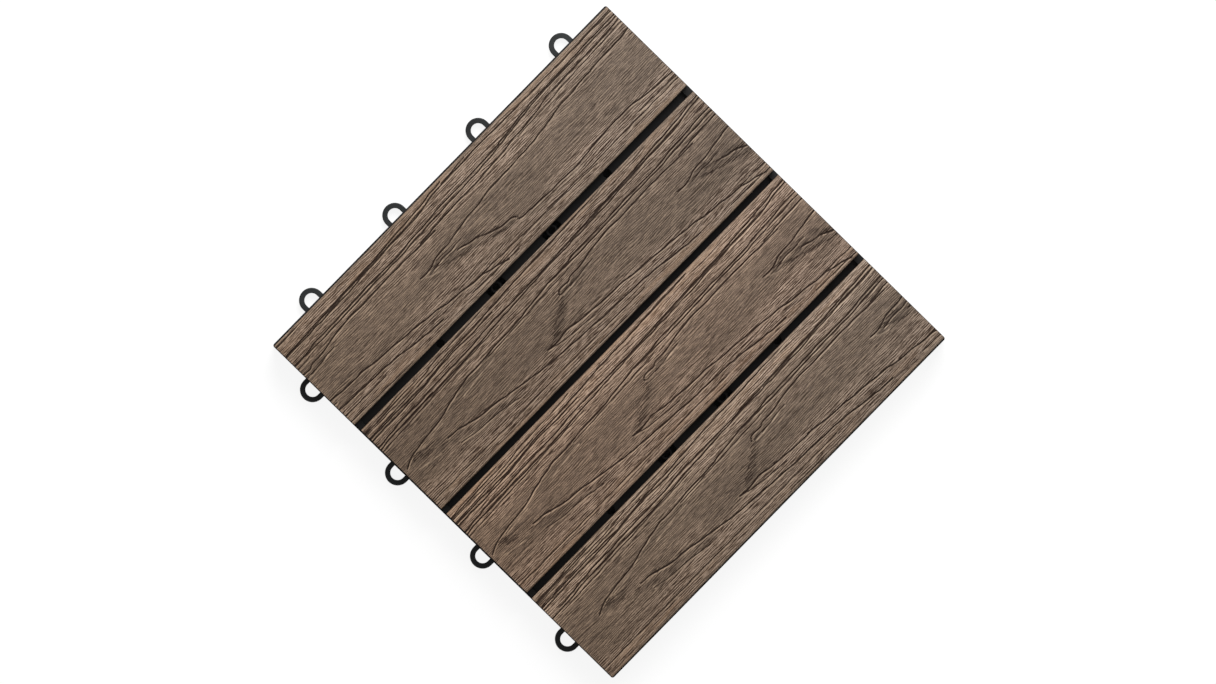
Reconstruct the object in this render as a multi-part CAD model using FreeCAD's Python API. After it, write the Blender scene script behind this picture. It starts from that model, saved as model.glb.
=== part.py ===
"""Interlocking deck tile: four composite slats screwed to a moulded lattice base.

Millimetres. The origin is the centre of the square tile on the ground, +X runs along the slats,
+Z is up. The base has four loops on its -X side and four on its +Y side. On the other two sides
it has sockets with pins, which take the loops of the next tile.
"""

import FreeCAD, Part
import os
from math import cos, pi, sin

V = FreeCAD.Vector
UP = V(0, 0, 1)

# Whole tile
module = 300.0  # side of the square that one tile covers
corner_radius = 1.5  # of the base's four upright corners

# Slats
slat_count = 4
slat_gap = 4.8
slat_thickness = 12.0
slat_top_radius = 1.2  # rolled long edges of the walking face
slat_bottom_chamfer = 0.6
side_reveal = 1.2  # border left showing beside the two outer slats
right_reveal = 0.6  # border left showing past the slats' +X ends
left_reveal = 0.8  # the same past the -X ends
left_stagger = 0.45  # how much more of it the inner slats leave showing
second_slat_shift = -0.4  # how far slat_2 sits from its even place
back_groove_count = 7  # shallow grooves that the extrusion has on its underside
back_groove_pitch = 9.0
back_groove_width = 3.4
back_groove_depth = 0.8

# Base lattice
base_height = 11.0
border_wall = 2.4
border_lift = 1.0  # gap under the border that lets water out
cell_count = 12  # lattice cells along each side
rib_top_width = 2.0
rib_foot_width = 1.5  # ribs narrow downwards, so that the moulding leaves its tool
rib_lift = 2.5
pad_width = 10.0  # square pads that stand on the ground, where ribs cross
band_width = 12.0  # flat bands under the gaps between slats
band_thickness = 2.0
lug_length = 4.0  # upstands that close the gaps at both ends and space the slats
lug_setback = 1.2
lug_height = 4.0
lug_play = 0.25

# Drains: plain holes in the bands, and wells, which are round openings with a ring standing in each
band_hole_column = 3  # lattice cells from the middle
well_column = 1
band_hole_radius = 2.7
well_radius = 7.1
well_depth = 6.5
well_ring_radius = 3.7
well_ring_bore = 2.4

# Screws, driven from below through bridges between two ribs
screws_per_slat = 2
screw_cells_from_middle = 4.5  # lattice cells between the middle and a slat's outer screws
bridge_width = 12.0
bridge_thickness = 4.0
screw_shank_radius = 1.75
screw_head_radius = 3.8
screw_head_height = 2.4
screw_length = 13.0  # under the head
screw_hole_play = 0.35  # around the shank in the bridge
pilot_play = 0.05  # around the shank in the slat
pilot_extra_depth = 0.5

# Loops, and the sockets and pins that take a neighbour's loops
latch_count = 4  # on each side
loop_bore_radius = 4.6
loop_wall = 3.4
loop_leg = 2.3  # straight part between the border and the round end
loop_thickness = 4.0
loop_lift = 1.0
loop_edge = 0.5
socket_side_play = 0.7
socket_roof_play = 0.6
socket_wall = 1.8
pin_play = 0.15
pin_lift = 1.0
pin_edge = 0.7

half = module / 2
inside = half - border_wall
rib_pitch = module / cell_count
latch_pitch = module / latch_count
slat_width = (module - 2 * side_reveal - (slat_count - 1) * slat_gap) / slat_count
sunk = 0.5  # how far pieces of one moulding run into each other before they are fused
socket_ceiling = loop_lift + loop_thickness + socket_roof_play
loop_radius = loop_bore_radius + loop_wall


def block(x0, x1, y0, y1, z0, z1):
    """A box between two corners."""
    return Part.makeBox(x1 - x0, y1 - y0, z1 - z0, V(x0, y0, z0))


def rod(x, y, radius, z0, z1):
    """An upright cylinder."""
    return Part.makeCylinder(radius, z1 - z0, V(x, y, z0), UP)


def eight_flats(x, y, radius, z0, z1):
    """An upright bar with eight flats, for hidden shanks and their holes, to keep the faces few."""
    corners = [V(x + radius * cos(pi * i / 4), y + radius * sin(pi * i / 4), z0) for i in range(8)]
    return Part.Face(Part.makePolygon(corners + corners[:1])).extrude(V(0, 0, z1 - z0))


def lathe(points, x, y):
    """A solid turned about the upright line through x, y from (radius, height) points."""
    outline = Part.makePolygon([V(r, 0, z) for r, z in points + points[:1]])
    turned = Part.Face(outline).revolve(V(0, 0, 0), UP, 360)
    turned.translate(V(x, y, 0))
    return turned


def on_side(shape, side, along):
    """Put a shape modelled with the border at x = 0 on the side at an angle, at a place along it."""
    placed = shape.copy()
    placed.translate(V(half, along, 0))
    placed.rotate(V(0, 0, 0), UP, side)
    return placed


def spread(count, pitch):
    """Evenly spaced places about zero, from the highest down."""
    return [pitch * ((count - 1) / 2 - i) for i in range(count)]


def slat_places():
    """The y of each slat's centre line, slat_1 (at +Y) first."""
    places = spread(slat_count, slat_width + slat_gap)
    places[1] += second_slat_shift
    return places


def slat_starts():
    """The x where each slat begins, the inner ones a little further in."""
    outer = (1, slat_count)
    return [left_reveal - half + (0 if i in outer else left_stagger) for i in range(1, slat_count + 1)]


def gaps():
    """(centre, width) of each gap between two slats."""
    places = slat_places()
    return [((a + b) / 2, a - b - slat_width) for a, b in zip(places, places[1:])]


def rib_columns():
    """The x of the ribs that run across the slats."""
    reach = int(inside / rib_pitch)
    return [rib_pitch * i for i in range(-reach, reach + 1)]


def foot_places():
    """Places of the pads along one direction, at every second rib."""
    return spread(cell_count // 2, 2 * rib_pitch)


def band_rows():
    """The y of each flat band, on the rib line nearest to its gap."""
    return [round(y / rib_pitch) * rib_pitch for y, _ in gaps()]


def rib_rows():
    """The y of the ribs that run along the slats: through the pads and under the bands."""
    return sorted(set(foot_places() + band_rows()))


def rib(offset):
    """One rib along X at y = offset, narrower at its lower edge."""
    reach = inside + sunk
    top, low = rib_top_width / 2, rib_foot_width / 2
    corners = [
        V(-reach, offset - low, rib_lift),
        V(-reach, offset + low, rib_lift),
        V(-reach, offset + top, base_height),
        V(-reach, offset - top, base_height),
    ]
    section = Part.Face(Part.makePolygon(corners + corners[:1]))
    return section.extrude(V(2 * reach, 0, 0))


def lattice():
    """The ribs, both ways."""
    across = [rib(x) for x in rib_columns()]
    for shape in across:
        shape.rotate(V(0, 0, 0), UP, -90)
    return across + [rib(y) for y in rib_rows()]


def border():
    """The wall round the base, clear of the ground."""
    outer = block(-half, half, -half, half, border_lift, base_height)
    upright = [e for e in outer.Edges if e.BoundBox.ZLength > base_height / 2]
    outer = outer.makeFillet(corner_radius, upright)
    return outer.cut(block(-inside, inside, -inside, inside, 0, base_height + 1))


def pads():
    """Square feet under the rib crossings, and one in the middle where the moulding's gate is."""
    places = foot_places()
    side = pad_width / 2
    centres = [(0.0, 0.0)] + [(x, y) for x in places for y in places]
    return [block(x - side, x + side, y - side, y + side, 0, rib_lift) for x, y in centres]


def bands():
    """Flat bands level with the top, one under each gap."""
    reach = inside + sunk
    side = band_width / 2
    low = base_height - band_thickness
    return [block(-reach, reach, y - side, y + side, low, base_height) for y in band_rows()]


def lugs():
    """Upstands at both ends of each gap, narrower than the gap."""
    outer = half - lug_setback
    inner = outer - lug_length
    low, high = base_height - sunk, base_height + lug_height
    shapes = []
    for centre, width in gaps():
        side = width / 2 - lug_play
        for x0, x1 in ((-outer, -inner), (inner, outer)):
            shapes.append(block(x0, x1, centre - side, centre + side, low, high))
    return shapes


def drain_places(column):
    """(x, y) of the drains of every band but the middle one, at a rib column and its mirror image."""
    return [(x, y) for y in band_rows() if y for x in (-column * rib_pitch, column * rib_pitch)]


def screw_places():
    """(x, y, slat number) of every screw, on the slats' centre lines."""
    columns = spread(screws_per_slat, 2 * screw_cells_from_middle * rib_pitch / (screws_per_slat - 1))
    return [(x, y, i) for i, y in enumerate(slat_places(), 1) for x in columns]


def bridges():
    """Thick strips from rib to rib, which the screws go through."""
    side = bridge_width / 2
    reach = rib_pitch / 2
    low = base_height - bridge_thickness
    return [
        block(x - reach, x + reach, y - side, y + side, low, base_height)
        for x, y, _ in screw_places()
    ]


def holes():
    """The screw holes, drain holes and wells of the base, but not the bores of the rings."""
    top = base_height + 1
    radius = screw_shank_radius + screw_hole_play
    low = base_height - bridge_thickness - 1
    screw_holes = [eight_flats(x, y, radius, low, top) for x, y, _ in screw_places()]
    drains = [rod(x, y, band_hole_radius, -1, top) for x, y in drain_places(band_hole_column)]
    wells = [rod(x, y, well_radius, base_height - well_depth, top) for x, y in drain_places(well_column)]
    return screw_holes + drains + wells


def tongue(radius, z0, z1):
    """A flat tongue that leaves the border: a straight leg and a round end."""
    arc = Part.Arc(V(loop_leg, -radius, z0), V(loop_leg + radius, 0, z0), V(loop_leg, radius, z0))
    straight = [V(loop_leg, radius, z0), V(0, radius, z0), V(0, -radius, z0), V(loop_leg, -radius, z0)]
    edges = [arc.toShape()] + [Part.makeLine(a, b) for a, b in zip(straight, straight[1:])]
    return Part.Face(Part.Wire(edges)).extrude(V(0, 0, z1 - z0))


def loop():
    """One loop at the border, with its upper outer edge broken."""
    low, high = loop_lift, loop_lift + loop_thickness
    body = tongue(loop_radius, low, high)
    rim = [e for e in body.Edges if e.BoundBox.ZMin > high - sunk and e.BoundBox.XMax > sunk]
    body = body.makeChamfer(loop_edge, rim)
    side = loop_radius - loop_edge
    root = block(-sunk, 0, -side, side, low, high - loop_edge)
    return body.fuse(root).cut(tongue(loop_bore_radius, low - 1, high + 1))


def pin():
    """The pin that hangs from a socket's ceiling, set so that it fills a loop's length."""
    opening = loop_leg + loop_bore_radius
    radius = opening / 2 - pin_play
    top = socket_ceiling + sunk
    outline = [(0, pin_lift), (radius - pin_edge, pin_lift), (radius, pin_lift + pin_edge)]
    return lathe(outline + [(radius, top), (0, top)], -opening / 2, 0)


def socket():
    """Ceiling and two cheeks of a socket, from the border to the first rib."""
    inner = rib_columns()[-1] - half
    side = loop_radius + socket_side_play
    ceiling = block(inner, -sunk, -side - sunk, side + sunk, socket_ceiling, socket_ceiling + socket_wall)
    cheeks = [
        block(inner, -sunk, y, y + socket_wall, rib_lift, base_height)
        for y in (-side - socket_wall, side)
    ]
    return ceiling.multiFuse(cheeks)


def socket_mouth():
    """The opening in the border that a neighbour's loop enters by."""
    side = loop_radius + socket_side_play
    return block(-border_wall - sunk, 1, -side, side, 0, socket_ceiling)


def base_grid():
    """The whole base, one moulding."""
    places = spread(latch_count, latch_pitch)
    sockets = [on_side(socket(), side, p) for side in (0, -90) for p in places]
    body = border().multiFuse(lattice() + pads() + bands() + lugs() + bridges() + sockets)
    mouths = [on_side(socket_mouth(), side, p) for side in (0, -90) for p in places]
    body = body.cut(Part.makeCompound(holes() + mouths))
    wells = drain_places(well_column)
    rings = [rod(x, y, well_ring_radius, rib_lift, base_height) for x, y in wells]
    pins = [on_side(pin(), side, p) for side in (0, -90) for p in places]
    loops = [on_side(loop(), side, p) for side in (180, 90) for p in places]
    bores = [rod(x, y, well_ring_bore, -1, base_height + 1) for x, y in wells]
    return body.multiFuse(rings + pins + loops).cut(Part.makeCompound(bores)).removeSplitter()


def slat_section():
    """A slat's cross-section in the YZ plane: rolled top edges, grooved underside."""
    side, low, high = slat_width / 2, base_height, base_height + slat_thickness
    r, c = slat_top_radius, slat_bottom_chamfer
    bend = r * (1 - 0.5**0.5)
    points = [(-side, high - r), (-side, low + c), (-side + c, low)]
    for centre in reversed(spread(back_groove_count, back_groove_pitch)):
        w = back_groove_width / 2
        top = low + back_groove_depth
        points += [(centre - w, low), (centre - w, top), (centre + w, top), (centre + w, low)]
    points += [(side - c, low), (side, low + c), (side, high - r)]
    outline = [V(0, y, z) for y, z in points]
    edges = [Part.makeLine(a, b) for a, b in zip(outline, outline[1:])]
    right = Part.Arc(V(0, side, high - r), V(0, side - bend, high - bend), V(0, side - r, high))
    left = Part.Arc(V(0, -side + r, high), V(0, -side + bend, high - bend), V(0, -side, high - r))
    top = Part.makeLine(V(0, side - r, high), V(0, -side + r, high))
    return Part.Face(Part.Wire(edges + [right.toShape(), top, left.toShape()]))


def slat(number, place, start):
    """One slat with its pilot holes."""
    body = slat_section().extrude(V(half - right_reveal - start, 0, 0))
    body.translate(V(start, place, 0))
    depth = base_height - bridge_thickness + screw_length + pilot_extra_depth
    radius = screw_shank_radius + pilot_play
    places = [(x, y) for x, y, n in screw_places() if n == number]
    pilots = [eight_flats(x, y, radius, base_height - 1, depth) for x, y in places]
    return body.cut(Part.makeCompound(pilots))


def screw(x, y):
    """One screw, point up, its head against the underside of its bridge."""
    seat = base_height - bridge_thickness
    head = rod(x, y, screw_head_radius, seat - screw_head_height, seat)
    return head.fuse(eight_flats(x, y, screw_shank_radius, seat - sunk, seat + screw_length))


def build():
    """Every node by name."""
    nodes = {"base_grid": base_grid()}
    for i, (place, start) in enumerate(zip(slat_places(), slat_starts()), 1):
        nodes[f"slat_{i}"] = slat(i, place, start)
    nodes["slat_screws"] = Part.makeCompound([screw(x, y) for x, y, _ in screw_places()])
    return nodes


os.makedirs("parts", exist_ok=True)
for name, shape in build().items():
    solids = shape.Solids
    print(name, "solids", len(solids), "valid", shape.isValid(), "cm3", round(shape.Volume / 1000, 2))
    whole = solids[0] if len(solids) == 1 else shape
    whole.exportStep(f"parts/{name}.step")
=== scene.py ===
"""Looks of the interlocking deck tile: embossed composite boards on a moulded black lattice base."""

import functools
import math
import random

import bmesh
import bpy
from bpy.props import FloatProperty, FloatVectorProperty, IntProperty, PointerProperty, StringProperty
from bpy.types import Operator, Panel, PropertyGroup
from mathutils import Matrix, Vector


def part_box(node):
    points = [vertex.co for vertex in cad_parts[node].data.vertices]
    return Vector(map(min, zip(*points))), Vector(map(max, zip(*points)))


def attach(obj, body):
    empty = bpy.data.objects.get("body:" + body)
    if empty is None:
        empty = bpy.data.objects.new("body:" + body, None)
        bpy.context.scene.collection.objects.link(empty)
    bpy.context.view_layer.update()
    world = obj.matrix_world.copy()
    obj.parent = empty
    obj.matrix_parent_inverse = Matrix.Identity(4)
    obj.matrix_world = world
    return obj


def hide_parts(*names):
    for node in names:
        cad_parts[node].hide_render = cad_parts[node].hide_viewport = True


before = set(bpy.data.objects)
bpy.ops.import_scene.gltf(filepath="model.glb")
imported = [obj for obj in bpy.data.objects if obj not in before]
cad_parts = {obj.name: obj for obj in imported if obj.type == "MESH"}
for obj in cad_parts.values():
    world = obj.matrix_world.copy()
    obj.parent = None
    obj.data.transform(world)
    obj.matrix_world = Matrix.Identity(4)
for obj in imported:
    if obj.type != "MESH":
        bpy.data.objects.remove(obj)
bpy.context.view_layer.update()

bl_info = {
    "name": "Interlocking Deck Tile",
    "version": (1, 0, 0),
    "blender": (4, 5, 0),
    "location": "View3D > Sidebar > Deck Tile",
    "description": "Models the grained boards, the screws and the finishes of an interlocking deck tile",
    "category": "Add Mesh",
}

MM = 0.001
TILE_LEFT = -0.150  # where the square that the tile covers begins, in metres
BOARD_COUNT = 4
TOUCH = 0.00001  # metres below a board's top within which a point counts as on its walking face
CAD_WELD = 0.000002  # metres within which corners of the frame's mesh are one
RIM_WELD = 0.00002  # the same for the points of the fine face and its rim
RIM_KEPT = 0.0002  # metres at the long edges of the walking face that stay unpressed
UPPER_SLOPE, LOWER_SLOPE, HEART_SLOPE = -0.035, 0.03, -0.03  # of the grain's straight lines across a board
TIP_BEND = 0.6  # millimetres that a tip's stroke drifts across the board
WAVE_PERIOD = math.tau / 20  # of a wave texture at scale 1
HEAD_SIDES, SHANK_SIDES, THREAD_STEPS = 48, 32, 24  # round a screw
RECESS_TAPER = (0.45, 0.6, 1)  # the bottom of an arm of the cross recess against its mouth
PAPER_SHADED, PAPER_CLEAR = 0.138, 0.148  # metres from the middle between which the paper's glow comes in

# Grain embossed by the roller, in millimetres: along the board from the tile's left edge, and down from
# the board's upper edge. One roller pattern serves all four boards, each of which shows another stretch.
DEEP_CUTS = (
    ((-20, 9.4), (2, 8.6), (25, 8.1), (50, 8.4), (60, 7.4), (70, 6.6), (80, 5.8), (100, 5.4), (110, 4.8),
     (120, 4.3), (135, 3.3), (150, 3.0), (165, 2.8), (190, 1.9), (215, 0.9)),
    ((-20, 11.0), (2, 10.0), (20, 9.8), (50, 9.4), (56, 8.6), (62, 8.0), (72, 7.2), (80, 7.0), (95, 7.4),
     (105, 7.0), (112, 6.6)),
    ((-20, 18.8), (2, 17.8), (8, 17.0), (15, 16.6), (30, 16.6), (45, 16.0), (78, 16.0), (88, 15.4),
     (96, 15.2), (104, 14.4), (115, 13.8), (125, 13.4), (140, 12.6), (150, 12.1), (170, 11.9), (190, 11.5),
     (210, 11.0), (222, 10.3), (230, 9.9), (250, 8.9), (262, 8.6), (277, 8.3), (285, 6.7), (292, 5.9),
     (306, 5.0), (330, 4.6), (375, 4.9), (453, 4.7)),
    ((-10, 16.5), (4, 15.8), (15, 14.6), (20, 14.0), (28, 13.8), (40, 14.0), (55, 13.4), (65, 13.2),
     (80, 13.0), (92, 12.4), (98, 11.6), (110, 11.4), (120, 11.6), (140, 11.2), (150, 11.3), (175, 10.6),
     (180, 9.9), (200, 9.5), (222, 9.1), (226, 8.6), (240, 7.9), (248, 6.9), (265, 6.5), (280, 5.3),
     (290, 3.9), (300, 3.5)),
    ((150, 19.5), (172, 19.7), (190, 19.7), (210, 19.1), (230, 18.7), (250, 18.5), (265, 17.9), (280, 17.1),
     (300, 16.4), (320, 16.0), (335, 14.9), (350, 13.4), (365, 11.6), (380, 10.3), (400, 9.9), (425, 9.6),
     (453, 9.4)),
    ((264, 21.8), (280, 20.6), (300, 20.0), (315, 20.2), (322, 19.6), (340, 19.0), (350, 17.6), (365, 16.6),
     (376, 15.8), (380, 14.8), (386, 13.8), (400, 13.5), (420, 13.3), (440, 13.1), (448, 12.2),
     (453, 11.8)),
    ((4, 38.0), (8, 35.8), (12, 34.6), (25, 32.5), (40, 31.0), (50, 28.5), (60, 26.3), (72, 24.3),
     (85, 24.0), (100, 22.9), (115, 22.5), (123, 22.1), (127, 21.2), (140, 20.6), (150, 19.3), (165, 18.9),
     (172, 18.0), (190, 17.7), (215, 17.5), (218, 16.9), (240, 17.1), (252, 16.9), (263, 15.9), (280, 15.1),
     (292, 14.1), (300, 13.9), (308, 14.2), (325, 13.8), (342, 13.0), (348, 12.4), (360, 11.0), (375, 9.4),
     (390, 9.0), (405, 8.7), (425, 8.2), (453, 8.0)),
    ((36, 42.5), (46, 43.5), (52, 45.5), (60, 47.3), (75, 49.0), (88, 51.5), (102, 54.0), (125, 56.5),
     (150, 57.9), (155, 58.5), (163, 59.1), (190, 60.3), (205, 61.5), (213, 63.1), (222, 63.7), (228, 64.9),
     (240, 65.6)),
    ((149, 30.0), (150, 28.0), (152, 27.4), (160, 27.5), (161, 26.3), (175, 25.5), (184, 23.9), (200, 22.5),
     (210, 22.7), (240, 22.2), (255, 22.3), (262, 22.9), (276, 22.7)),
    ((119, 48.7), (124, 49.4), (136, 48.3), (150, 50.3), (160, 51.3), (180, 52.1), (190, 53.6), (207, 54.6),
     (215, 55.9), (225, 56.6), (235, 57.9), (242, 58.6), (247, 60.1), (260, 61.3), (270, 62.9), (278, 63.3),
     (283, 65.1), (288, 65.9), (296, 68.5)),
    ((248, 37.4), (255, 37.6), (260, 36.3), (263, 35.1), (275, 34.3), (285, 33.1), (295, 31.3), (300, 31.1),
     (312, 29.9), (318, 28.9), (335, 28.5), (360, 27.5), (370, 26.3), (380, 24.8), (388, 23.6), (400, 23.2),
     (405, 22.6), (415, 22.0), (430, 21.4), (445, 20.8), (453, 19.9)),
    ((278, 41.1), (285, 43.1), (292, 44.6), (300, 48.4), (308, 50.9), (316, 51.5), (319, 53.6), (318, 55.1),
     (322, 55.8), (335, 56.6), (350, 57.2), (370, 57.8), (375, 57.2), (390, 55.8), (410, 55.3), (420, 55.3),
     (425, 56.4), (430, 57.6), (445, 58.8), (453, 59.2)),
)
# The same, pressed in less.
SHALLOW_CUTS = (
    ((-20, 4.2), (5, 3.0), (30, 1.5), (45, 0.9)),
    ((-20, 6.2), (2, 5.1), (20, 4.8), (38, 5.2), (50, 4.1), (60, 3.2), (75, 2.4), (90, 2.1), (110, 1.0)),
    ((90, 24.9), (120, 23.7), (150, 22.5), (165, 22.0)),
    ((40, 50.5), (52, 52.5), (60, 53.5), (72, 54.5), (85, 56.5)),
    ((158, 30.6), (166, 29.8), (180, 28.0)),
    ((120, 49.2), (130, 51.5), (140, 53.0), (156, 54.2)),
    ((355, 18.6), (377, 17.6), (400, 16.0), (430, 14.9), (453, 14.0)),
    ((258, 39.3), (266, 38.2), (274, 38.6), (284, 37.6)),
    ((335, 63.7), (380, 64.4), (453, 64.2)),
    ((-20, 63.9), (60, 64.0), (130, 64.3), (190, 64.6)),
    ((300, 4.7), (312, 4.0), (322, 3.3)),
)
# Beside and before the tips of the arches, where only a pale lip shows: a painted highlight.
PALE_EDGES = (
    ((62, 31.2), (70, 30.2), (80, 29.0), (92, 28.2)),
    ((40, 49.5), (48, 51.5), (56, 53.6), (66, 54.6), (78, 56.0)),
    ((16, 35.8), (28, 34.4), (40, 33.6)),
    ((9, 43.5), (15, 44.8), (26, 46.6)),
    ((150, 31.6), (158, 31.4), (166, 30.2), (174, 29.0)),
    ((251, 39.2), (253, 41.0), (260, 42.6)),
    ((325, 59.4), (345, 60.4), (372, 60.2)),
)
ARCHES = DEEP_CUTS[6:]
# The blunt tips of the arches cross the grain, and are no lines but flights of short strokes along it.
TIPS = (
    ((119, 49.2), (124, 47.0), (128, 44.0), (133, 41.0), (138, 37.5), (143, 34.5), (149, 30.6),
     (156, 29.4)),
    ((9, 36.5), (13, 39.0), (20, 41.4), (30, 43.6), (38, 44.6)),
    ((12, 35.0), (20, 37.4), (32, 39.4)),
    ((254, 38.2), (262, 41.0), (270, 44.2), (280, 46.8), (290, 50.2), (304, 52.6), (314, 55.0)),
    ((262, 36.5), (272, 39.5), (284, 42.8), (296, 47.0), (306, 50.5)),
)
# Painted shade: the insides of the tips are painted a little darker, as shade in the relief.
PAINTED_SHADE_BANDS = (
    ((8, 38), (20, 38.5), (32, 39.5)),
    ((52, 29.5), (60, 28.8), (70, 27.2), (80, 26.6), (92, 26.2)),
    ((38, 46.5), (50, 49.5), (62, 51.8), (75, 53.6), (90, 55.2)),
    ((128, 48), (138, 43), (145, 37), (153, 31), (160, 29.6), (170, 28.4)),
    ((256, 38.8), (266, 38.8), (280, 38.8), (292, 40.5)),
    ((266, 42.0), (280, 43.0), (296, 45.0)),
    ((284, 46.5), (294, 48.6), (303, 51), (313, 53.4)),
    ((328, 58.2), (350, 59.2), (372, 59.2)),
)
# Batches of composite differ: red, green and blue of each board against the common colour, board_1
# first, and how bright its upper and its lower long edge are against its middle.
BOARD_TINTS = ((0.97, 0.97, 0.985), (0.88, 0.87, 0.875), (1.065, 1.02, 1.01), (0.97, 0.965, 0.97))
EDGE_GAINS = ((0.94, 0.88), (0.955, 1.0), (1.07, 0.89), (1.19, 0.925))
ROLLER_SHIFTS = ((-153.0, -1.2), (0.0, 0.0), (-1.0, 0.7), (19.0, -0.3))  # along and down, board_1 first


def linear(colour):
    """Linear RGBA of an sRGB hex colour."""
    channels = [int(colour[i:i + 2], 16) / 255 for i in (1, 3, 5)]
    return [c / 12.92 if c <= 0.04045 else ((c + 0.055) / 1.055) ** 2.4 for c in channels] + [1.0]


def add_node(tree, kind, inputs=None, give=0, stops=(), **settings):
    """Add a shader node with its settings and its inputs, each a value or a link.

    Stops are the positions and hex colours of a ramp. It returns the output that give names, or the node
    itself where give is None.
    """
    node = tree.nodes.new("ShaderNode" + kind)
    for name, value in settings.items():
        setattr(node, name, value)
    for socket, value in (inputs or {}).items():
        if isinstance(value, bpy.types.NodeSocket):
            tree.links.new(value, node.inputs[socket])
        else:
            node.inputs[socket].default_value = value
    for _ in stops[2:]:
        node.color_ramp.elements.new(0.5)
    for i, (position, colour) in enumerate(stops):
        node.color_ramp.elements[i].position = position
        node.color_ramp.elements[i].color = linear(colour)
    return node if give is None else node.outputs[give]


def new_material(name):
    """An empty node material, and the function that adds a node to it."""
    material = bpy.data.materials.new(name)
    material.use_nodes = True
    material.node_tree.nodes.clear()
    return material, functools.partial(add_node, material.node_tree)


def select_only(obj):
    """Make one object the only selected and the active one."""
    bpy.ops.object.select_all(action="DESELECT")
    obj.select_set(True)
    bpy.context.view_layer.objects.active = obj


def pick(obj, kind, wanted):
    """In edit mode, select exactly the faces or edges that a test accepts."""
    mesh = bmesh.from_edit_mesh(obj.data)
    parts = getattr(mesh, kind)
    for part in parts:
        part.select_set(False)
    for part in parts:
        if wanted(part):
            part.select_set(True)
    mesh.select_flush_mode()
    bmesh.update_edit_mesh(obj.data)


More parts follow.
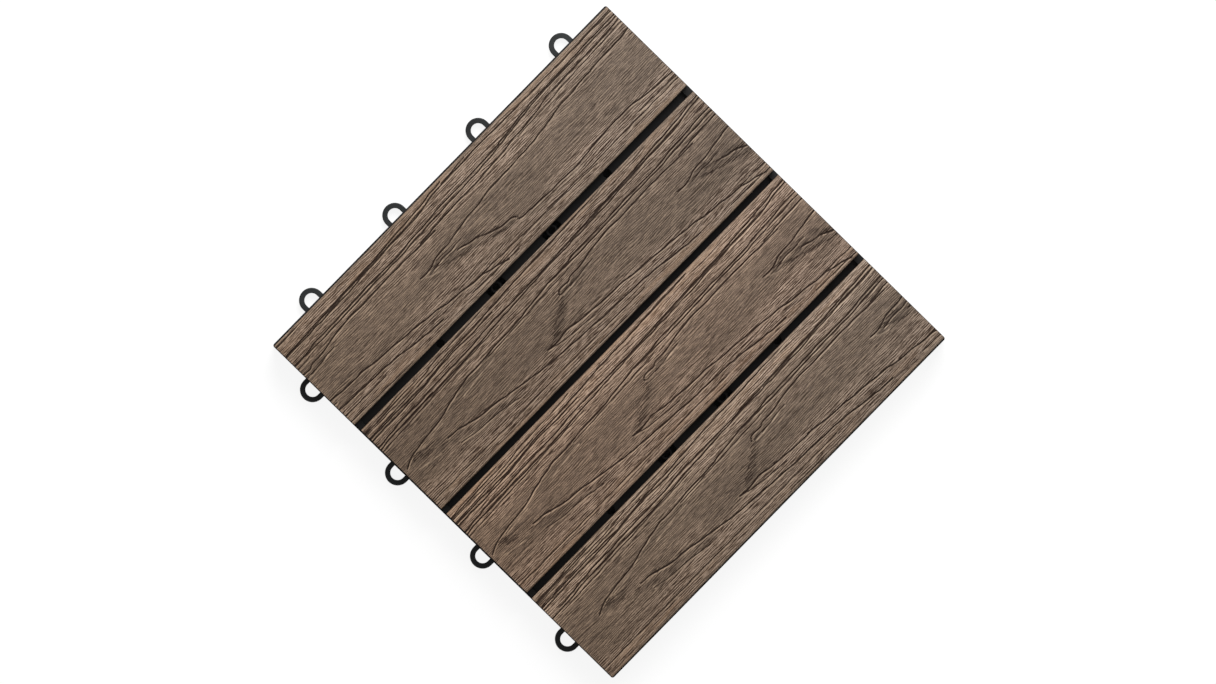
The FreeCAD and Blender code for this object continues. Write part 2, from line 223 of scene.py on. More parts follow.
def composite_material(settings):
    """Wood-plastic composite: wood flour in polyethylene, extruded, embossed and brushed.

    To the eye it is matt and greyish brown, finely streaked along the board, redder and paler towards the
    long edges, with near-black brown where the roller pressed the grain in, partly painted shade, and pale
    lips beside it, which are a painted highlight. The rounded long edges carry a painted highlight too, and
    the insides of the arches' tips painted shade. Each board has the tint of its batch, and all are a touch
    redder at their left ends than at their right ones.
    """
    material, add = new_material("brushed_wood_plastic_composite")
    place = add("TexCoord", give="Object")
    # The streaks drift sideways by about 1.5 mm over a hand's width, as drawn plastic does.
    drift = add("Mapping", {"Vector": place, "Scale": (14, 60, 60)})
    wander = add("TexNoise", {"Vector": drift, "Scale": 1.0, "Detail": 2.0}, give="Color")
    centred = add("VectorMath", {0: wander, 1: (0.5, 0.5, 0.5)}, operation="SUBTRACT")
    aside = add("VectorMath", {0: centred, 1: (0, 0.006, 0)}, operation="MULTIPLY")
    bent = add("VectorMath", {0: place, 1: aside}, operation="ADD")

    layers = []
    for length, width, detail in settings.streak_layers():
        spread = add("Mapping", {"Vector": bent, "Scale": (1 / length, 1 / width, 1 / width)})
        layers.append(add("TexNoise", {"Vector": spread, "Scale": 1.0, "Detail": detail, "Roughness": 0.6}))
    broad, coarse, fine, pores, tint = layers
    normal = add("NewGeometry", give="True Normal")
    facing = add("SeparateXYZ", {0: normal}, give=None).outputs
    upward = add("MapRange", {"Value": facing["Z"], "From Min": 0.2, "From Max": 0.8})
    # The third of these carries the shade painted inside the arches' tips.
    grain, lip, stain, across = (add("Attribute", give="Fac", attribute_name=name)
                                 for name in ("grain", "lip", "stain", "across"))
    batch = add("Attribute", give="Vector", attribute_name="tint")
    rim = add("Math", {0: across}, operation="ABSOLUTE")
    zone = add("Math", {0: rim, 1: broad}, operation="ADD")
    flanks = add("MapRange", {"Value": zone, "From Min": 0.75, "From Max": 1.15})

    # The brush's wires leave lines about a millimetre apart, which run on for a hand's width.
    combed = add("Mapping", {"Vector": bent, "Scale": (0.05, 1, 1)})
    comb = add("TexWave", {
        "Vector": combed, "Scale": WAVE_PERIOD / settings.comb_pitch, "Distortion": 5.0, "Detail": 2.0,
        "Detail Scale": 1.6}, give="Fac", bands_direction="Y")
    # The fine marks count for most, then the coarse ones, then the lines of the wires.
    mixed = coarse
    for share, marks in ((0.7, fine), (0.16, comb)):
        mixed = add("Mix", {0: share, 2: mixed, 3: marks}, data_type="FLOAT")
    level = add("Math", {0: mixed, 1: 0.5}, operation="SUBTRACT")
    # Brushing bites deeper near the long edges. The sides and the underside stay as the extruder left
    # them, with faint drawing lines only.
    bite = add("MapRange", {"Value": flanks, "To Min": 3.9, "To Max": 6.2})
    drawn = add("MapRange", {"Value": upward, "To Min": 0.2})
    bite = add("Math", {0: bite, 1: drawn}, operation="MULTIPLY")
    streaks = add("Math", {0: level, 1: bite, 2: 0.5}, operation="MULTIPLY_ADD", use_clamp=True)

    patch, leaning, edge_highlight, warm_zone, warm, pitted = (
        add("MapRange", {"Value": value, "From Min": start, "From Max": end, "To Min": low, "To Max": high})
        for value, start, end, low, high in (
            (broad, 0.35, 0.65, 0.93, 1.06),  # clouds of darker and paler plastic
            (across, -1.0, 1.0, 0.95, 1.05),  # a little paler towards the upper edge, at +Y
            (rim, 0.93, 0.985, 0.0, 1.0),  # the rounded long edges: a painted highlight, tinted redder
            (rim, 0.70, 0.90, 0.0, 1.0),  # where warm tinges show
            (tint, 0.50, 0.62, 0.0, 0.55),  # the warm tinges
            (pores, 0.61, 0.70, 0.0, 0.3)))  # fine dark pores
    # Painted shade: the bands inside the arches' tips take up to 23 % off the colour.
    shade = add("Math", {0: stain, 1: -0.23, 2: 1.0}, operation="MULTIPLY_ADD")
    products = []
    for share, *factors in ((patch, shade, leaning), (edge_highlight, tint, upward), (warm, warm_zone, upward),
                            (pitted, flanks, upward), (lip, 0.9)):
        for factor in factors:
            share = add("Math", {0: share, 1: factor}, operation="MULTIPLY")
        products.append(share)
    tone, edge_highlight, warm, pitted, lit = products
    # The pressed grain is dark at its floor, with ragged edges: partly its own colour, partly painted
    # shade.
    # Its lower lip catches the light, painted as a pale highlight.
    ragged = add("Math", {0: level, 1: 0.5, 2: grain}, operation="MULTIPLY_ADD")
    dark = add("MapRange", {"Value": ragged, "From Min": 0.25, "From Max": 0.6, "To Max": 0.95})
    dark = add("Math", {0: dark, 1: pitted}, operation="MAXIMUM")
    # Wood flour shows as specks of 0.7 mm all over.
    flecks = add("TexNoise", {"Vector": place, "Scale": 1 / 0.0007, "Detail": 1.0})
    flecks = add("MapRange", {"Value": flecks, "From Min": 0.3, "From Max": 0.7, "To Min": 0.74,
                              "To Max": 1.26})
    # The boards are a touch redder at their left ends (-X) and greyer at their right ends.
    along = add("SeparateXYZ", {0: place}, give="X")
    ends = add("MapRange", {"Value": along, "From Min": TILE_LEFT, "From Max": -TILE_LEFT})
    ends = add("Mix", {0: ends, 6: (1.03, 1.0, 0.965, 1), 7: (0.965, 1.0, 1.04, 1)}, give=2,
               data_type="RGBA")
    # Sawn ends show the flour as specks instead of streaks, drawn coarser, at 1.2 mm, to show.
    endwise = add("Math", {0: facing["X"]}, operation="ABSOLUTE")
    sawn = add("Math", {0: endwise, 1: 0.8}, operation="GREATER_THAN")
    specks = add("TexNoise", {"Vector": place, "Scale": 1 / 0.0012, "Detail": 3.0})
    flour = add("ValToRGB", {"Fac": specks},
                stops=((0.40, settings.sawn_dark), (0.62, settings.sawn_light)))

    body, flank = (add("ValToRGB", {"Fac": streaks}, stops=list(zip((0.0, 0.5, 1.0), colours)))
                   for colours in (settings.heart_colours(), settings.flank_colours()))
    for share, colour, way in (
            (flanks, flank, "MIX"),
            (1.0, tone, "MULTIPLY"),
            # A painted highlight on the rounded long edges, tinted redder.
            (edge_highlight, linear(settings.edge_highlight_colour), "MIX"),
            (warm, linear(settings.warm_colour), "MIX"),
            (1.0, flecks, "MULTIPLY"),
            (lit, linear(settings.lip_colour), "MIX"),
            (dark, linear(settings.groove_colour), "MIX"),
            (1.0, batch, "MULTIPLY"),
            (1.0, ends, "MULTIPLY"),
            (sawn, flour, "MIX")):
        body = add("Mix", {0: share, 6: body, 7: colour}, give=2, data_type="RGBA", blend_type=way)

    rough = add("MapRange", {"Value": streaks, "To Min": 0.82, "To Max": 0.62})
    relief = add("Bump", {"Strength": 0.7, "Distance": 0.00015, "Height": streaks})
    shader = add("BsdfPrincipled", {"Base Color": body, "Roughness": rough, "IOR": 1.49,
                                    "Specular IOR Level": 0.2, "Normal": relief})
    add("OutputMaterial", {"Surface": shader}, give=None)
    return material


def polypropylene_material(settings):
    """Black polypropylene, injection moulded in a spark-eroded tool.

    To the eye it is a satin charcoal with a fine pebble and faint paler flow clouds. The seats of the
    boards, under them and between them, are painted blacker as shade.
    """
    material, add = new_material("moulded_polypropylene")
    place = add("TexCoord", give="Object")
    clouds = add("TexNoise", {"Vector": place, "Scale": 1 / 0.022, "Detail": 3.0, "Distortion": 0.6})
    # The pebble of such a tool is about 0.2 mm; it is drawn at 0.5 mm so that it shows.
    pebble = add("TexNoise", {"Vector": place, "Scale": 1 / 0.0005, "Detail": 1.0})
    tone = add("ValToRGB", {"Fac": clouds},
               stops=((0.3, settings.shade_colour), (0.7, settings.face_colour)))
    # Painted shade: the seats of the boards and the other high faces of the base, under the boards and
    # between them, are painted blacker, where shade falls.
    height = add("SeparateXYZ", {0: place}, give="Z")
    seat = add("MapRange", {"Value": height, "From Min": 0.0085, "From Max": 0.0105})
    colour = add("Mix", {0: seat, 6: tone, 7: linear(settings.seat_shade_colour)}, give=2, data_type="RGBA")
    rough = add("MapRange", {"Value": clouds, "From Min": 0.3, "From Max": 0.7, "To Min": 0.38,
                             "To Max": 0.55})
    relief = add("Bump", {"Strength": 0.35, "Distance": 0.00005, "Height": pebble})
    shader = add("BsdfPrincipled", {"Base Color": colour, "Roughness": rough, "IOR": 1.49,
                                    "Specular IOR Level": 0.35, "Normal": relief})
    add("OutputMaterial", {"Surface": shader}, give=None)
    return material


def zinc_material(settings):
    """Zinc-plated steel, turned and tumbled: bluish grey, with cloudy reflections and fine dulling."""
    material, add = new_material("zinc_plated_steel")
    place = add("TexCoord", give="Object")
    clouds = add("TexNoise", {"Vector": place, "Scale": 1 / 0.0012, "Detail": 3.0})
    tone = add("ValToRGB", {"Fac": clouds},
               stops=((0.3, settings.dull_colour), (0.7, settings.bright_colour)))
    rough = add("MapRange", {"Value": clouds, "From Min": 0.3, "From Max": 0.7, "To Min": 0.28,
                             "To Max": 0.45})
    shader = add("BsdfPrincipled", {"Base Color": tone, "Metallic": 1.0, "Roughness": rough})
    add("OutputMaterial", {"Surface": shader}, give=None)
    return material


def line_object(name, lines):
    """A mesh of bare edges that run smoothly along lists of points."""
    curve = bpy.data.curves.new(name, "CURVE")
    curve.dimensions = "3D"
    curve.resolution_u = 6
    for points in lines:
        spline = curve.splines.new("NURBS")
        spline.points.add(len(points) - 1)
        for point, place in zip(spline.points, points):
            point.co = (*place, 1.0)
        spline.order_u = 3
        spline.use_endpoint_u = True
    obj = bpy.data.objects.new(name, curve)
    bpy.context.collection.objects.link(obj)
    select_only(obj)
    bpy.ops.object.convert(target="MESH")
    return bpy.context.object


def roughened(line, draw, settings):
    """A line with a point every few millimetres, each moved a little across the board."""
    points = [line[0]]
    for (x0, y0), (x1, y1) in zip(line, line[1:]):
        pieces = max(1, round(math.hypot(x1 - x0, y1 - y0) * MM / settings.wobble_step))
        for i in range(1, pieces + 1):
            aside = draw.uniform(-1, 1) * settings.wobble / MM
            points.append((x0 + (x1 - x0) * i / pieces, y0 + (y1 - y0) * i / pieces + aside))
    return points


def sloping(start, down, slope, step, count):
    """A straight line on the roller, with a point every few millimetres along the board."""
    return [(start + step * i, down + slope * step * i) for i in range(count)]


# The lines that the next three functions draw at random are in millimetres on the roller, as those above.
def band_cuts(settings):
    """Long shallow cuts, close together along the board's upper edge and fewer along its lower one."""
    draw = random.Random(settings.seed + 1)
    lines = []
    for i in range(settings.band_cuts):
        top = i % 3 < 2
        down = draw.uniform(1.0, 20.0) if top else draw.uniform(59.0, 70.0)
        start = draw.uniform(-40, 420)
        lines.append(sloping(start, down, UPPER_SLOPE if top else LOWER_SLOPE, 20, draw.randint(3, 7)))
    return [roughened(line, draw, settings) for line in lines]


def tip_cuts(settings):
    """The flights of short strokes: each starts near a blunt tip and runs on along the grain."""
    draw = random.Random(settings.seed + 2)
    lines = []
    for tip in TIPS:
        for (x0, y0), (x1, y1) in zip(tip, tip[1:]):
            steps = max(1, round(abs(y1 - y0) * MM / settings.tip_step))
            bend = math.copysign(TIP_BEND, y1 - y0)
            for i in range(steps):
                # The starts straggle, so that they don't join up to a line across the grain.
                x = x0 + (x1 - x0) * i / steps + draw.uniform(-2.4, 2.4)
                y = y0 + (y1 - y0) * i / steps + draw.uniform(-0.3, 0.3)
                length = draw.uniform(4, 11)
                lines.append([(x, y), (x + 0.5 * length, y + 0.5 * bend), (x + length, y + bend)])
    return lines


def hair_lines(settings):
    """Finer lines: beside the deep cuts, nested in the tips of the arches, along the edges and between."""
    draw = random.Random(settings.seed)
    lines = []
    for cut in DEEP_CUTS:
        for _ in range(settings.echoes_per_cut):
            first = draw.randrange(len(cut) - 2)
            stretch = cut[first:first + draw.randint(3, 6)]
            away = draw.choice((-1, 1)) * draw.uniform(0.9, 4.0)
            lines.append([(x + draw.uniform(-3, 3), y + away) for x, y in stretch])
    for arch in ARCHES:
        for i in range(1, settings.nested_per_arch + 1):
            first = draw.randrange(3)
            stretch = arch[first:first + draw.randint(2, 4)]
            lines.append([(x + 1.7 * i + draw.uniform(-0.5, 0.5), y) for x, y in stretch])
    for _ in range(settings.edge_hairs):
        down = draw.choice((draw.uniform(0.8, 22), draw.uniform(58, 70.5)))
        start = draw.uniform(-20, 430)
        slope = UPPER_SLOPE if down < 40 else LOWER_SLOPE
        lines.append(sloping(start, down, slope, 12, draw.randint(3, 8)))
    for _ in range(settings.heart_hairs):
        down = draw.uniform(20, 60)
        start = draw.uniform(-20, 440)
        lines.append(sloping(start, down, HEART_SLOPE, 6, draw.randint(2, 5)))
    return [roughened(line, draw, settings) for line in lines]


def on_board(lines, high, shift):
    """Roller lines in metres on the walking face of the board whose highest corner is given."""
    along, down = shift
    return [
        [(TILE_LEFT + (x + along) * MM, high.y - (y + down) * MM, high.z) for x, y in line]
        for line in lines
    ]


def press_grain(board, group, target, reach, depth, patches):
    """Weigh a board's face by its nearness to grain lines, and push it down by that weight.

    A cloud texture fades the lines in and out, as the roller does.
    """
    near = board.modifiers.new("nearness", "VERTEX_WEIGHT_PROXIMITY")
    near.vertex_group = group
    near.target = target
    near.proximity_mode = "GEOMETRY"
    near.proximity_geometry = {"EDGE"}
    near.min_dist = 0.0
    near.max_dist = reach
    near.invert_falloff = True
    near.falloff_type = "SMOOTH"
    near.mask_texture = bpy.data.textures[patches]
    near.mask_tex_mapping = "LOCAL"
    near.mask_tex_use_channel = "INT"
    select_only(board)
    bpy.ops.object.modifier_apply(modifier=near.name)
    if depth:
        push = board.modifiers.new("push", "DISPLACE")
        push.direction = "Z"
        push.mid_level = 0.0
        push.strength = -depth
        push.vertex_group = group
        bpy.ops.object.modifier_apply(modifier=push.name)


def keep_weights(board, attribute, shares):
    """Store the strongest of some vertex groups' weights, each times its share, for the material."""
    share_of = {board.vertex_groups[name].index: share for name, share in shares.items()}
    values = [
        max([g.weight * share_of[g.group] for g in vertex.groups if g.group in share_of], default=0.0)
        for vertex in board.data.vertices
    ]
    board.data.attributes.new(attribute, "FLOAT", "POINT").data.foreach_set("value", values)


def refine_face(board, top, settings):
    """Swap a board's flat walking face for a fine grid, and return how far the face goes in Y."""
    level = top - TOUCH
    bpy.ops.object.mode_set(mode="EDIT")
    bpy.ops.mesh.select_mode(type="FACE")
    bpy.ops.mesh.select_all(action="SELECT")
    bpy.ops.mesh.remove_doubles(threshold=CAD_WELD)
    bpy.ops.mesh.dissolve_limited(angle_limit=math.radians(0.5))
    pick(board, "faces", lambda f: f.normal.z > 0.9999 and f.calc_center_median().z > level)
    mesh = bmesh.from_edit_mesh(board.data)
    corners = [v.co.copy() for f in mesh.faces if f.select for v in f.verts]
    if not corners:
        raise RuntimeError(f"{board.name} has no flat walking face")
    x0, x1 = min(c.x for c in corners), max(c.x for c in corners)
    y0, y1 = min(c.y for c in corners), max(c.y for c in corners)
    bpy.ops.mesh.delete(type="ONLY_FACE")

    # The rim of the open face gets the same divisions as the grid that closes it.
    bpy.ops.mesh.select_mode(type="EDGE")
    for axis, count in ((0, settings.cells_along), (1, settings.cells_across)):
        for cuts in (settings.first_split - 1, count // settings.first_split - 1):
            pick(board, "edges", lambda e: min(v.co.z for v in e.verts) > level
                 and abs(e.verts[0].co[1 - axis] - e.verts[1].co[1 - axis]) < CAD_WELD / 2)
            bpy.ops.mesh.subdivide(number_cuts=cuts)
    bpy.ops.mesh.select_all(action="DESELECT")
    centre = ((x0 + x1) / 2, (y0 + y1) / 2, top)
    bpy.ops.mesh.primitive_grid_add(x_subdivisions=settings.cells_along,
                                    y_subdivisions=settings.cells_across, size=1.0, location=centre)
    bpy.ops.transform.resize(value=(x1 - x0, y1 - y0, 1.0), center_override=centre)
    bpy.ops.mesh.select_all(action="SELECT")
    bpy.ops.mesh.remove_doubles(threshold=RIM_WELD)
    bpy.ops.mesh.normals_make_consistent(inside=False)
    mesh = bmesh.from_edit_mesh(board.data)
    if not all(edge.is_manifold for edge in mesh.edges):
        raise RuntimeError(f"the fine face of {board.name} doesn't meet its rim")
    bpy.ops.object.mode_set(mode="OBJECT")
    return y0, y1


def emboss(board, face, high, shift, settings):
    """Press the roller's grain into the points of a board's walking face, and keep the weights."""
    draw = random.Random(settings.seed)
    deep = [roughened(cut, draw, settings) for cut in DEEP_CUTS]
    shallow = [roughened(cut, draw, settings) for cut in SHALLOW_CUTS] + band_cuts(settings)
    # The pale lips, a painted highlight, lie a little below each cut and along the pale edges.
    lips = on_board(deep + shallow, high, (shift[0], shift[1] + settings.lip_offset / MM))
    lips += on_board(PALE_EDGES, high, shift)
    deep, shallow, tips, hairs, painted_shades = (on_board(lines, high, shift) for lines in (
        deep, shallow, tip_cuts(settings), hair_lines(settings), PAINTED_SHADE_BANDS))
    for group, lines, reach, depth, patches in (
            ("near_stain", painted_shades, settings.painted_shade_reach, 0.0, "long_patches"),
            ("near_lip", lips, settings.lip_reach, 0.0, "short_patches"),
            ("near_deep", deep, settings.deep_reach, settings.deep_depth, "long_patches"),
            ("near_shallow", shallow, settings.shallow_reach, settings.shallow_depth, "long_patches"),
            ("near_tip", tips, settings.shallow_reach, settings.hair_depth, "long_patches"),
            ("near_hair", hairs, settings.hair_reach, settings.hair_depth, "short_patches")):
        target = line_object(group, lines)
        board.vertex_groups.new(name=group).add(face, 0.0, "REPLACE")
        press_grain(board, group, target, reach, depth, patches)
        bpy.data.meshes.remove(target.data)
    keep_weights(board, "grain", {"near_deep": 1.0, "near_shallow": 0.88, "near_tip": 0.62,
                                  "near_hair": 0.65})
    keep_weights(board, "lip", {"near_lip": 1.0})
    # These weights become the shade painted inside the arches' tips.
    keep_weights(board, "stain", {"near_stain": 1.0})
    board.vertex_groups.clear()


def make_board(number, settings):
    """One board: the extruded section of its node, with the grain pressed in a fine walking face."""
    node = f"slat_{number}"
    low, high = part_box(node)
    board = bpy.data.objects.new(f"board_{number}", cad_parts[node].data.copy())
    bpy.context.collection.objects.link(board)
    board.data.materials.clear()
    select_only(board)
    # The node's own corner normals would shade the divided faces askew.
    bpy.ops.mesh.customdata_custom_splitnormals_clear()
    y0, y1 = refine_face(board, high.z, settings)
    face = [v.index for v in board.data.vertices
            if v.co.z > high.z - TOUCH and y0 + RIM_KEPT < v.co.y < y1 - RIM_KEPT]
    emboss(board, face, high, ROLLER_SHIFTS[number - 1], settings)

    middle, half = (low.y + high.y) / 2, (high.y - low.y) / 2
    places = [(v.co.y - middle) / half for v in board.data.vertices]
    board.data.attributes.new("across", "FLOAT", "POINT").data.foreach_set("value", places)
    upper, lower = EDGE_GAINS[number - 1]
    gains = [1 + (upper - 1) * max(y, 0) + (lower - 1) * max(-y, 0) for y in places]
    tints = [gain * share for gain in gains for share in BOARD_TINTS[number - 1]]
    board.data.attributes.new("tint", "FLOAT_VECTOR", "POINT").data.foreach_set("vector", tints)
    select_only(board)
    bpy.ops.object.shade_smooth_by_angle(angle=math.radians(50))
    return board


class BoardSettings(PropertyGroup):
    """Sizes and colours of the grained boards."""

    cells_along: IntProperty(
        name="Cells along", description="Divisions of the face along the board", default=300)
    cells_across: IntProperty(
        name="Cells across", description="Divisions of the face across it", default=300)
    first_split: IntProperty(
        name="First split", description="Divisions made in the first of two steps", default=100)
    seed: IntProperty(name="Seed", description="Chooses where the finer grain lines lie", default=7)
    echoes_per_cut: IntProperty(name="Echoes", description="Finer lines beside each deep one", default=2)
    nested_per_arch: IntProperty(name="Nested", description="Short arcs in each arch's tip", default=5)
    tip_step: FloatProperty(
        name="Tip step", description="Between the strokes of a tip, across the board", default=0.0016,
        unit="LENGTH")
    band_cuts: IntProperty(name="Band cuts", description="Long cuts near the long edges", default=12)
    edge_hairs: IntProperty(name="Edge hairs", description="Hair lines near the long edges", default=40)
    heart_hairs: IntProperty(name="Heart hairs", description="Short hair lines in the middle", default=45)
    wobble_step: FloatProperty(
        name="Wobble step", description="Distance between a line's bends", default=0.004, unit="LENGTH")
    wobble: FloatProperty(
        name="Wobble", description="How far a line strays at a bend", default=0.00028, unit="LENGTH")
    deep_reach: FloatProperty(
        name="Deep reach", description="Half width of a deep grain line", default=0.00068, unit="LENGTH")
    deep_depth: FloatProperty(
        name="Deep depth", description="How far a deep line is pressed in", default=0.0005, unit="LENGTH")
    shallow_reach: FloatProperty(
        name="Shallow reach", description="Half width of a shallow line", default=0.0005, unit="LENGTH")
    shallow_depth: FloatProperty(
        name="Shallow depth", description="How far it is pressed in", default=0.0003, unit="LENGTH")
    hair_reach: FloatProperty(
        name="Hair reach", description="Half width of a hair line", default=0.0004, unit="LENGTH")
    hair_depth: FloatProperty(
        name="Hair depth", description="How far it is pressed in", default=0.00015, unit="LENGTH")
    lip_reach: FloatProperty(
        name="Lip reach", description="Half width of the pale lip of a cut", default=0.0006, unit="LENGTH")
    lip_offset: FloatProperty(
        name="Lip offset", description="How far below a cut its lip lies", default=0.0009, unit="LENGTH")
    # Half width of the bands of shade painted inside the arches' tips.
    painted_shade_reach: FloatProperty(
        name="Painted shade reach", description="Half width of the dark stains in the arches' tips", default=0.0035,
        unit="LENGTH")
    comb_pitch: FloatProperty(
        name="Comb pitch", description="Distance between the brush's lines", default=0.0012, unit="LENGTH")
    long_patch: FloatProperty(
        name="Long patch", description="Length over which cuts come and go", default=0.012, unit="LENGTH")
    short_patch: FloatProperty(
        name="Short patch", description="Length over which hair lines do", default=0.006, unit="LENGTH")
    # The groove colour is partly the grain's own and partly painted shade; the lip colour is a painted
    # highlight.
    groove_colour: StringProperty(name="Groove", description="Floor of the grain", default="#22130A")
    lip_colour: StringProperty(name="Lip", description="Lower lip of the grain", default="#BCA58D")
    warm_colour: StringProperty(name="Warm", description="Tinges near the long edges", default="#9E836B")
    # The colour of the painted highlight on the rounded long edges.
    edge_highlight_colour: StringProperty(name="Edge highlight", description="Rounded long edges", default="#958371")
    sawn_dark: StringProperty(name="Sawn dark", description="Dark specks of sawn ends", default="#4A3B30")
    sawn_light: StringProperty(name="Sawn light", description="Paler specks of them", default="#7D6857")

    def streak_layers(self):
        """(length, width, detail), in metres, of clouds, coarse and fine marks, pores and warm tinges."""
        return ((0.060, 0.014, 2.0), (0.024, 0.0007, 2.0), (0.006, 0.00035, 1.0), (0.010, 0.0006, 1.0),
                (0.040, 0.0035, 2.0))

    def heart_colours(self):
        """Dark, middle and pale tone of the board's middle."""
        return ("#45382D", "#6E5E51", "#947F6B")

    def flank_colours(self):
        """The same towards the long edges, where brushing leaves it redder and paler."""
        return ("#38281E", "#7C6857", "#AD9784")


class DECK_OT_boards(Operator):
    """Model the four grained boards"""

    bl_idname = "deck_tile.boards"
    bl_label = "Boards"

    def execute(self, context):
        settings = context.scene.deck_boards
        missing = [n for n in range(1, BOARD_COUNT + 1) if f"slat_{n}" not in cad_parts]
        if missing:
            raise RuntimeError(f"the frame has no slat {missing}")
        material = composite_material(settings)
        # A brighter cloud texture leaves more of the lines.
        for name, size, brightness in (("long_patches", settings.long_patch, 2.3),
                                       ("short_patches", settings.short_patch, 1.1)):
            patches = bpy.data.textures.new(name, "CLOUDS")
            patches.noise_scale = size
            patches.noise_depth = 2
            patches.contrast = 2.5
            patches.intensity = brightness
        for number in range(1, BOARD_COUNT + 1):
            board = make_board(number, settings)
            board.data.materials.append(material)
            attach(board, "root")
            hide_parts(f"slat_{number}")
        return {"FINISHED"}


class BaseSettings(PropertyGroup):
    """Colours of the moulded base."""

    face_colour: StringProperty(name="Face", description="Paler clouds of the moulding", default="#2A2D2E")
    shade_colour: StringProperty(name="Shade", description="Darker clouds of it", default="#1E2021")
    # Painted shade on the seats of the boards, under and between them.
    seat_shade_colour: StringProperty(name="Shaded seats", description="Seats of the boards", default="#121111")


class DECK_OT_base(Operator):
    """Finish the moulded lattice base"""

    bl_idname = "deck_tile.base"
    bl_label = "Base"

    def execute(self, context):
        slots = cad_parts["base_grid"].material_slots
        if not slots:
            raise RuntimeError("base_grid has no material slot to fill")
        material = polypropylene_material(context.scene.deck_base)
        for slot in slots:
            slot.material = material
        return {"FINISHED"}


class ScrewSettings(PropertyGroup):
    """Sizes and colours of the screws."""

    head_radius: FloatProperty(
        name="Head radius", description="Of the pan head", default=0.0038, unit="LENGTH")
    head_height: FloatProperty(
        name="Head height", description="Of the pan head", default=0.0024, unit="LENGTH")
    head_round: FloatProperty(
        name="Head rounding", description="Radius of the head's outer edge", default=0.0011, unit="LENGTH")
    recess_width: FloatProperty(
        name="Recess width", description="Of each arm of the cross recess", default=0.0009, unit="LENGTH")
    recess_span: FloatProperty(
        name="Recess span", description="Across the cross recess", default=0.0044, unit="LENGTH")
    recess_depth: FloatProperty(
        name="Recess depth", description="Of the cross recess", default=0.0016, unit="LENGTH")
    core_radius: FloatProperty(
        name="Core radius", description="Inside the thread", default=0.0013, unit="LENGTH")
    thread_radius: FloatProperty(
        name="Thread radius", description="Over the thread", default=0.00175, unit="LENGTH")
    thread_pitch: FloatProperty(
        name="Thread pitch", description="Rise of one turn", default=0.0018, unit="LENGTH")
    thread_turns: IntProperty(name="Thread turns", description="Number of turns", default=6)
    shank_length: FloatProperty(
        name="Shank length", description="From under the head to the end", default=0.013, unit="LENGTH")
    seed: IntProperty(name="Seed", description="Chooses how far each screw is turned", default=3)
    bright_colour: StringProperty(name="Bright", description="Clean plating", default="#B9BCBE")
    dull_colour: StringProperty(name="Dull", description="Dulled plating", default="#8D9194")


def cut_recess(head, settings):
    """Cut the cross recess in the outer face of a head, each arm narrower towards its bottom."""
    for angle in (0.0, math.pi / 2):
        bpy.ops.object.select_all(action="DESELECT")
        bpy.ops.mesh.primitive_cube_add(size=1.0, location=(0, 0, -settings.head_height),
                                        rotation=(0, 0, angle))
        arm = bpy.context.object
        arm.dimensions = (settings.recess_span, settings.recess_width, 2 * settings.recess_depth)
        bpy.ops.object.mode_set(mode="EDIT")
        pick(arm, "faces", lambda f: f.normal.z > 0.9)
        bpy.ops.transform.resize(value=RECESS_TAPER, center_override=(0, 0, 0))
        bpy.ops.object.mode_set(mode="OBJECT")
        cut = head.modifiers.new("recess", "BOOLEAN")
        cut.object = arm
        cut.operation = "DIFFERENCE"
        cut.solver = "EXACT"
        select_only(head)
        bpy.ops.object.modifier_apply(modifier=cut.name)
        bpy.data.meshes.remove(arm.data)


def make_thread(settings):
    """The thread: a sharp profile wound up along the shank."""
    # The ridge takes up 0.6 of a turn's rise, and its foot is sunk 0.1 mm in the core.
    half = settings.thread_pitch * 0.3
    inner = settings.core_radius - 0.0001
    start = settings.shank_length - (settings.thread_turns + 0.5) * settings.thread_pitch
    profile = [(inner, 0, start - half), (settings.thread_radius, 0, start), (inner, 0, start + half)]
    mesh = bpy.data.meshes.new("thread")
    mesh.from_pydata(profile, [(0, 1), (1, 2), (2, 0)], [])
    thread = bpy.data.objects.new("thread", mesh)
    bpy.context.collection.objects.link(thread)
    winding = thread.modifiers.new("winding", "SCREW")
    winding.screw_offset = settings.thread_pitch
    winding.iterations = settings.thread_turns
    winding.steps = winding.render_steps = THREAD_STEPS
    winding.use_normal_calculate = True
    select_only(thread)
    bpy.ops.object.modifier_apply(modifier=winding.name)
    bpy.ops.object.mode_set(mode="EDIT")
    bpy.ops.mesh.select_all(action="SELECT")
    bpy.ops.mesh.fill_holes(sides=3)
    bpy.ops.mesh.select_all(action="SELECT")
    bpy.ops.mesh.normals_make_consistent(inside=False)
    bpy.ops.object.mode_set(mode="OBJECT")
    return thread


def make_screw(settings):
    """One screw on the upright through the origin, its head's seat at zero height and its point up."""
    bpy.ops.object.select_all(action="DESELECT")
    bpy.ops.mesh.primitive_cylinder_add(vertices=HEAD_SIDES, radius=settings.head_radius,
                                        depth=settings.head_height,
                                        location=(0, 0, -settings.head_height / 2))
    screw = bpy.context.object
    bpy.ops.object.transform_apply(location=True)
    bpy.ops.object.mode_set(mode="EDIT")
    bpy.ops.mesh.select_mode(type="EDGE")
    pick(screw, "edges", lambda e: max(v.co.z for v in e.verts) < -settings.head_height / 2)
    bpy.ops.mesh.bevel(offset=settings.head_round, segments=6, affect="EDGES")
    bpy.ops.object.mode_set(mode="OBJECT")
    cut_recess(screw, settings)

    bpy.ops.mesh.primitive_cylinder_add(vertices=SHANK_SIDES, radius=settings.core_radius,
                                        depth=settings.shank_length,
                                        location=(0, 0, settings.shank_length / 2))
    shank = bpy.context.object
    thread = make_thread(settings)
    select_only(screw)
    shank.select_set(True)
    thread.select_set(True)
    bpy.ops.object.join()
    bpy.ops.object.shade_smooth_by_angle(angle=math.radians(35))
    return screw


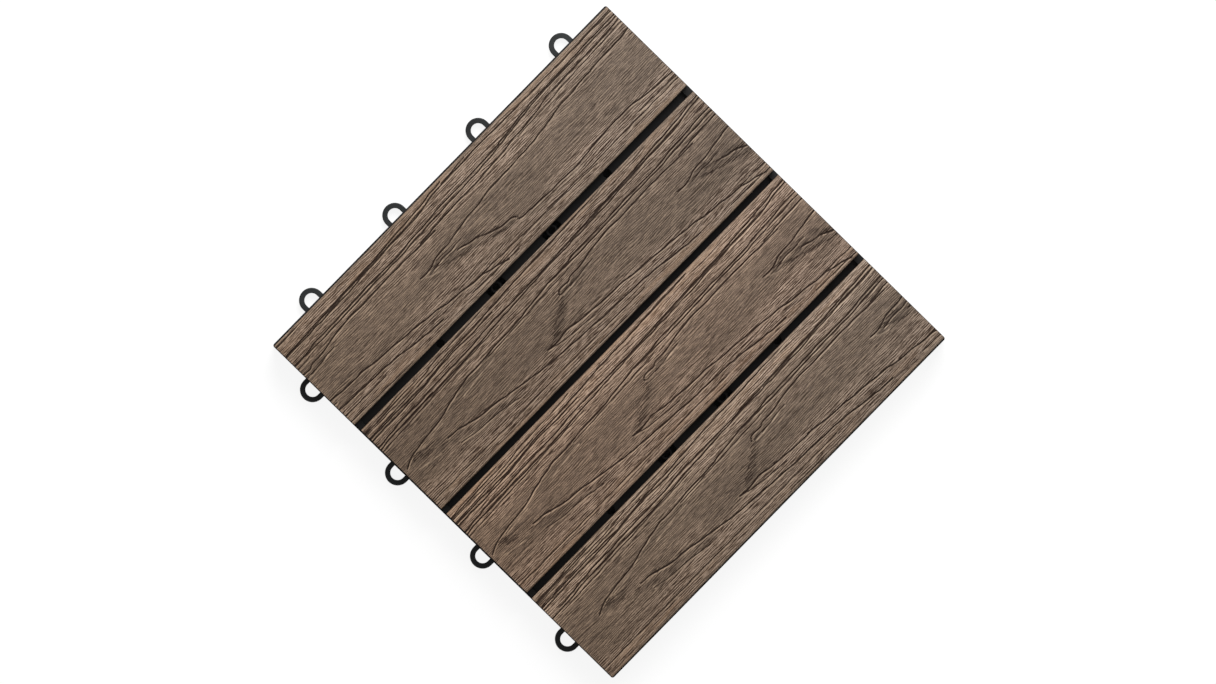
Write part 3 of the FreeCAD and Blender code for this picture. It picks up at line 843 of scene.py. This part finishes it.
class DECK_OT_screws(Operator):
    """Model the screws that hold the boards from below"""

    bl_idname = "deck_tile.screws"
    bl_label = "Screws"

    def execute(self, context):
        settings = context.scene.deck_screws
        first = make_screw(settings)
        first.data.materials.append(zinc_material(settings))
        low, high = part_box("slat_screws")
        seat = low.z + settings.head_height
        draw = random.Random(settings.seed)
        number = 0
        for board in range(1, BOARD_COUNT + 1):
            lower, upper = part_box(f"slat_{board}")
            for x in (low.x + settings.head_radius, high.x - settings.head_radius):
                number += 1
                screw = bpy.data.objects.new(f"screw_{number}", first.data.copy())
                context.collection.objects.link(screw)
                screw.location = (x, (lower.y + upper.y) / 2, seat)
                screw.rotation_euler.z = draw.uniform(0, math.pi / 2)
                select_only(screw)
                bpy.ops.object.transform_apply(location=True, rotation=True, scale=True)
                if max(v.co.z for v in screw.data.vertices) > high.z + MM:
                    raise RuntimeError(f"screw_{number} is longer than the screws of the frame")
                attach(screw, "root")
                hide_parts("slat_screws")
        bpy.data.meshes.remove(first.data)
        return {"FINISHED"}


class StageSettings(PropertyGroup):
    """Floor, light and camera."""

    floor_side: FloatProperty(name="Floor side", description="Of the floor", default=8.0, unit="LENGTH")
    paper_colour: StringProperty(name="Paper", description="What the floor reflects", default="#777777")
    paper_glow: FloatProperty(name="Paper glow", description="What it adds for the camera", default=0.88)
    world_level: FloatProperty(name="World level", description="Light from all round", default=0.30)
    key_power: FloatProperty(name="Key power", description="Power of the large lamp in watts", default=20.9)
    key_side: FloatProperty(name="Key side", description="Of the large lamp", default=1.0, unit="LENGTH")
    key_place: FloatVectorProperty(
        name="Key place", description="Where the large lamp hangs", default=(0.8, 0.55, 0.8), subtype="XYZ")
    distance: FloatProperty(
        name="Distance", description="From the camera to the tile", default=6.0, unit="LENGTH")
    lens: FloatProperty(name="Lens", description="Focal length in millimetres", default=282.5)
    aim: FloatVectorProperty(
        name="Aim", description="Point of the boards' faces in the middle of the picture",
        default=(-0.00059, 0.00066, 0.023), subtype="XYZ")
    lean: FloatVectorProperty(
        name="Lean", description="Turns of the camera about its own X and Y, and about the upright",
        default=(math.radians(-0.3), math.radians(-0.7), math.radians(-45.594)), subtype="EULER")


def white_stage_material(settings):
    """Matt white studio paper: it shows white to the camera and keeps the soft shadow of the tile.

    Right under the tile it only gets the light that falls through the holes, so that they look dark.
    """
    material, add = new_material("white_studio_paper")
    place = add("SeparateXYZ", {0: add("TexCoord", give="Object")}, give=None).outputs
    across = [add("Math", {0: place[axis]}, operation="ABSOLUTE") for axis in ("X", "Y")]
    outward = add("Math", {0: across[0], 1: across[1]}, operation="MAXIMUM")
    clear = add("MapRange", {"Value": outward, "From Min": PAPER_SHADED, "From Max": PAPER_CLEAR})
    rays = add("LightPath", give=None).outputs
    level = rays["Is Camera Ray"]
    for value, operation in ((rays["Is Glossy Ray"], "MAXIMUM"), (rays["Is Transmission Ray"], "MAXIMUM"),
                             (clear, "MULTIPLY"), (settings.paper_glow, "MULTIPLY")):
        level = add("Math", {0: level, 1: value}, operation=operation)
    paper = add("BsdfDiffuse", {"Color": linear(settings.paper_colour)})
    glow = add("Emission", {"Color": (1, 1, 1, 1), "Strength": level})
    both = add("AddShader", {0: paper, 1: glow})
    add("OutputMaterial", {"Surface": both}, give=None)
    return material


class DECK_OT_stage(Operator):
    """Set the pale floor, the soft light and the camera"""

    bl_idname = "deck_tile.stage"
    bl_label = "Stage"

    def execute(self, context):
        settings = context.scene.deck_stage
        bpy.ops.object.select_all(action="DESELECT")
        bpy.ops.mesh.primitive_plane_add(size=settings.floor_side)
        floor = context.object
        floor.name = "floor"
        floor.data.materials.append(white_stage_material(settings))

        world = bpy.data.worlds.new("studio")
        context.scene.world = world
        world.use_nodes = True
        world.node_tree.nodes.clear()
        add = functools.partial(add_node, world.node_tree)
        seen = add("LightPath", give="Is Camera Ray")
        level = add("MapRange", {"Value": seen, "To Min": settings.world_level, "To Max": 1.0})
        sky = add("Background", {"Color": (1, 1, 1, 1), "Strength": level})
        add("OutputWorld", {"Surface": sky}, give=None)

        place = Vector(settings.key_place)
        bpy.ops.object.light_add(type="AREA", location=place)
        lamp = context.object
        lamp.name = "key_lamp"
        lamp.data.shape = "SQUARE"
        lamp.data.size = settings.key_side
        lamp.data.energy = settings.key_power
        lamp.rotation_euler = (-place).to_track_quat("-Z", "Y").to_euler()

        turn = Matrix.Rotation(settings.lean[2], 3, "Z")
        turn @= Matrix.Rotation(settings.lean[1], 3, "Y") @ Matrix.Rotation(settings.lean[0], 3, "X")
        aim = Vector(settings.aim)
        bpy.ops.object.camera_add(location=aim + turn @ Vector((0, 0, settings.distance)),
                                  rotation=turn.to_euler())
        camera = context.object
        camera.data.sensor_width = 36.0
        camera.data.lens = settings.lens
        camera.data.clip_end = 4 * settings.distance
        context.scene.camera = camera
        if not floor.data.materials or lamp.type != "LIGHT":
            raise RuntimeError("the stage is not complete")
        context.scene.view_settings.view_transform = "Standard"
        return {"FINISHED"}


class DECK_PT_tile(Panel):
    """Buttons for each group of pieces"""

    bl_label = "Interlocking Deck Tile"
    bl_space_type = "VIEW_3D"
    bl_region_type = "UI"
    bl_category = "Deck Tile"

    def draw(self, context):
        for step in STEPS:
            self.layout.operator(step.bl_idname)


GROUPS = {"deck_boards": BoardSettings, "deck_base": BaseSettings, "deck_screws": ScrewSettings,
          "deck_stage": StageSettings}
STEPS = (DECK_OT_boards, DECK_OT_base, DECK_OT_screws, DECK_OT_stage)


def register():
    """Register the classes, and give the scene their settings."""
    for cls in (*GROUPS.values(), *STEPS, DECK_PT_tile):
        bpy.utils.register_class(cls)
    for name, group in GROUPS.items():
        setattr(bpy.types.Scene, name, PointerProperty(type=group))


def unregister():
    """Take both away again."""
    for name in GROUPS:
        delattr(bpy.types.Scene, name)
    for cls in (DECK_PT_tile, *STEPS, *GROUPS.values()):
        bpy.utils.unregister_class(cls)


def main():
    """Build the whole scene."""
    register()
    bpy.ops.deck_tile.boards()
    bpy.ops.deck_tile.base()
    bpy.ops.deck_tile.screws()
    bpy.ops.deck_tile.stage()


if __name__ == "__main__":
    main()
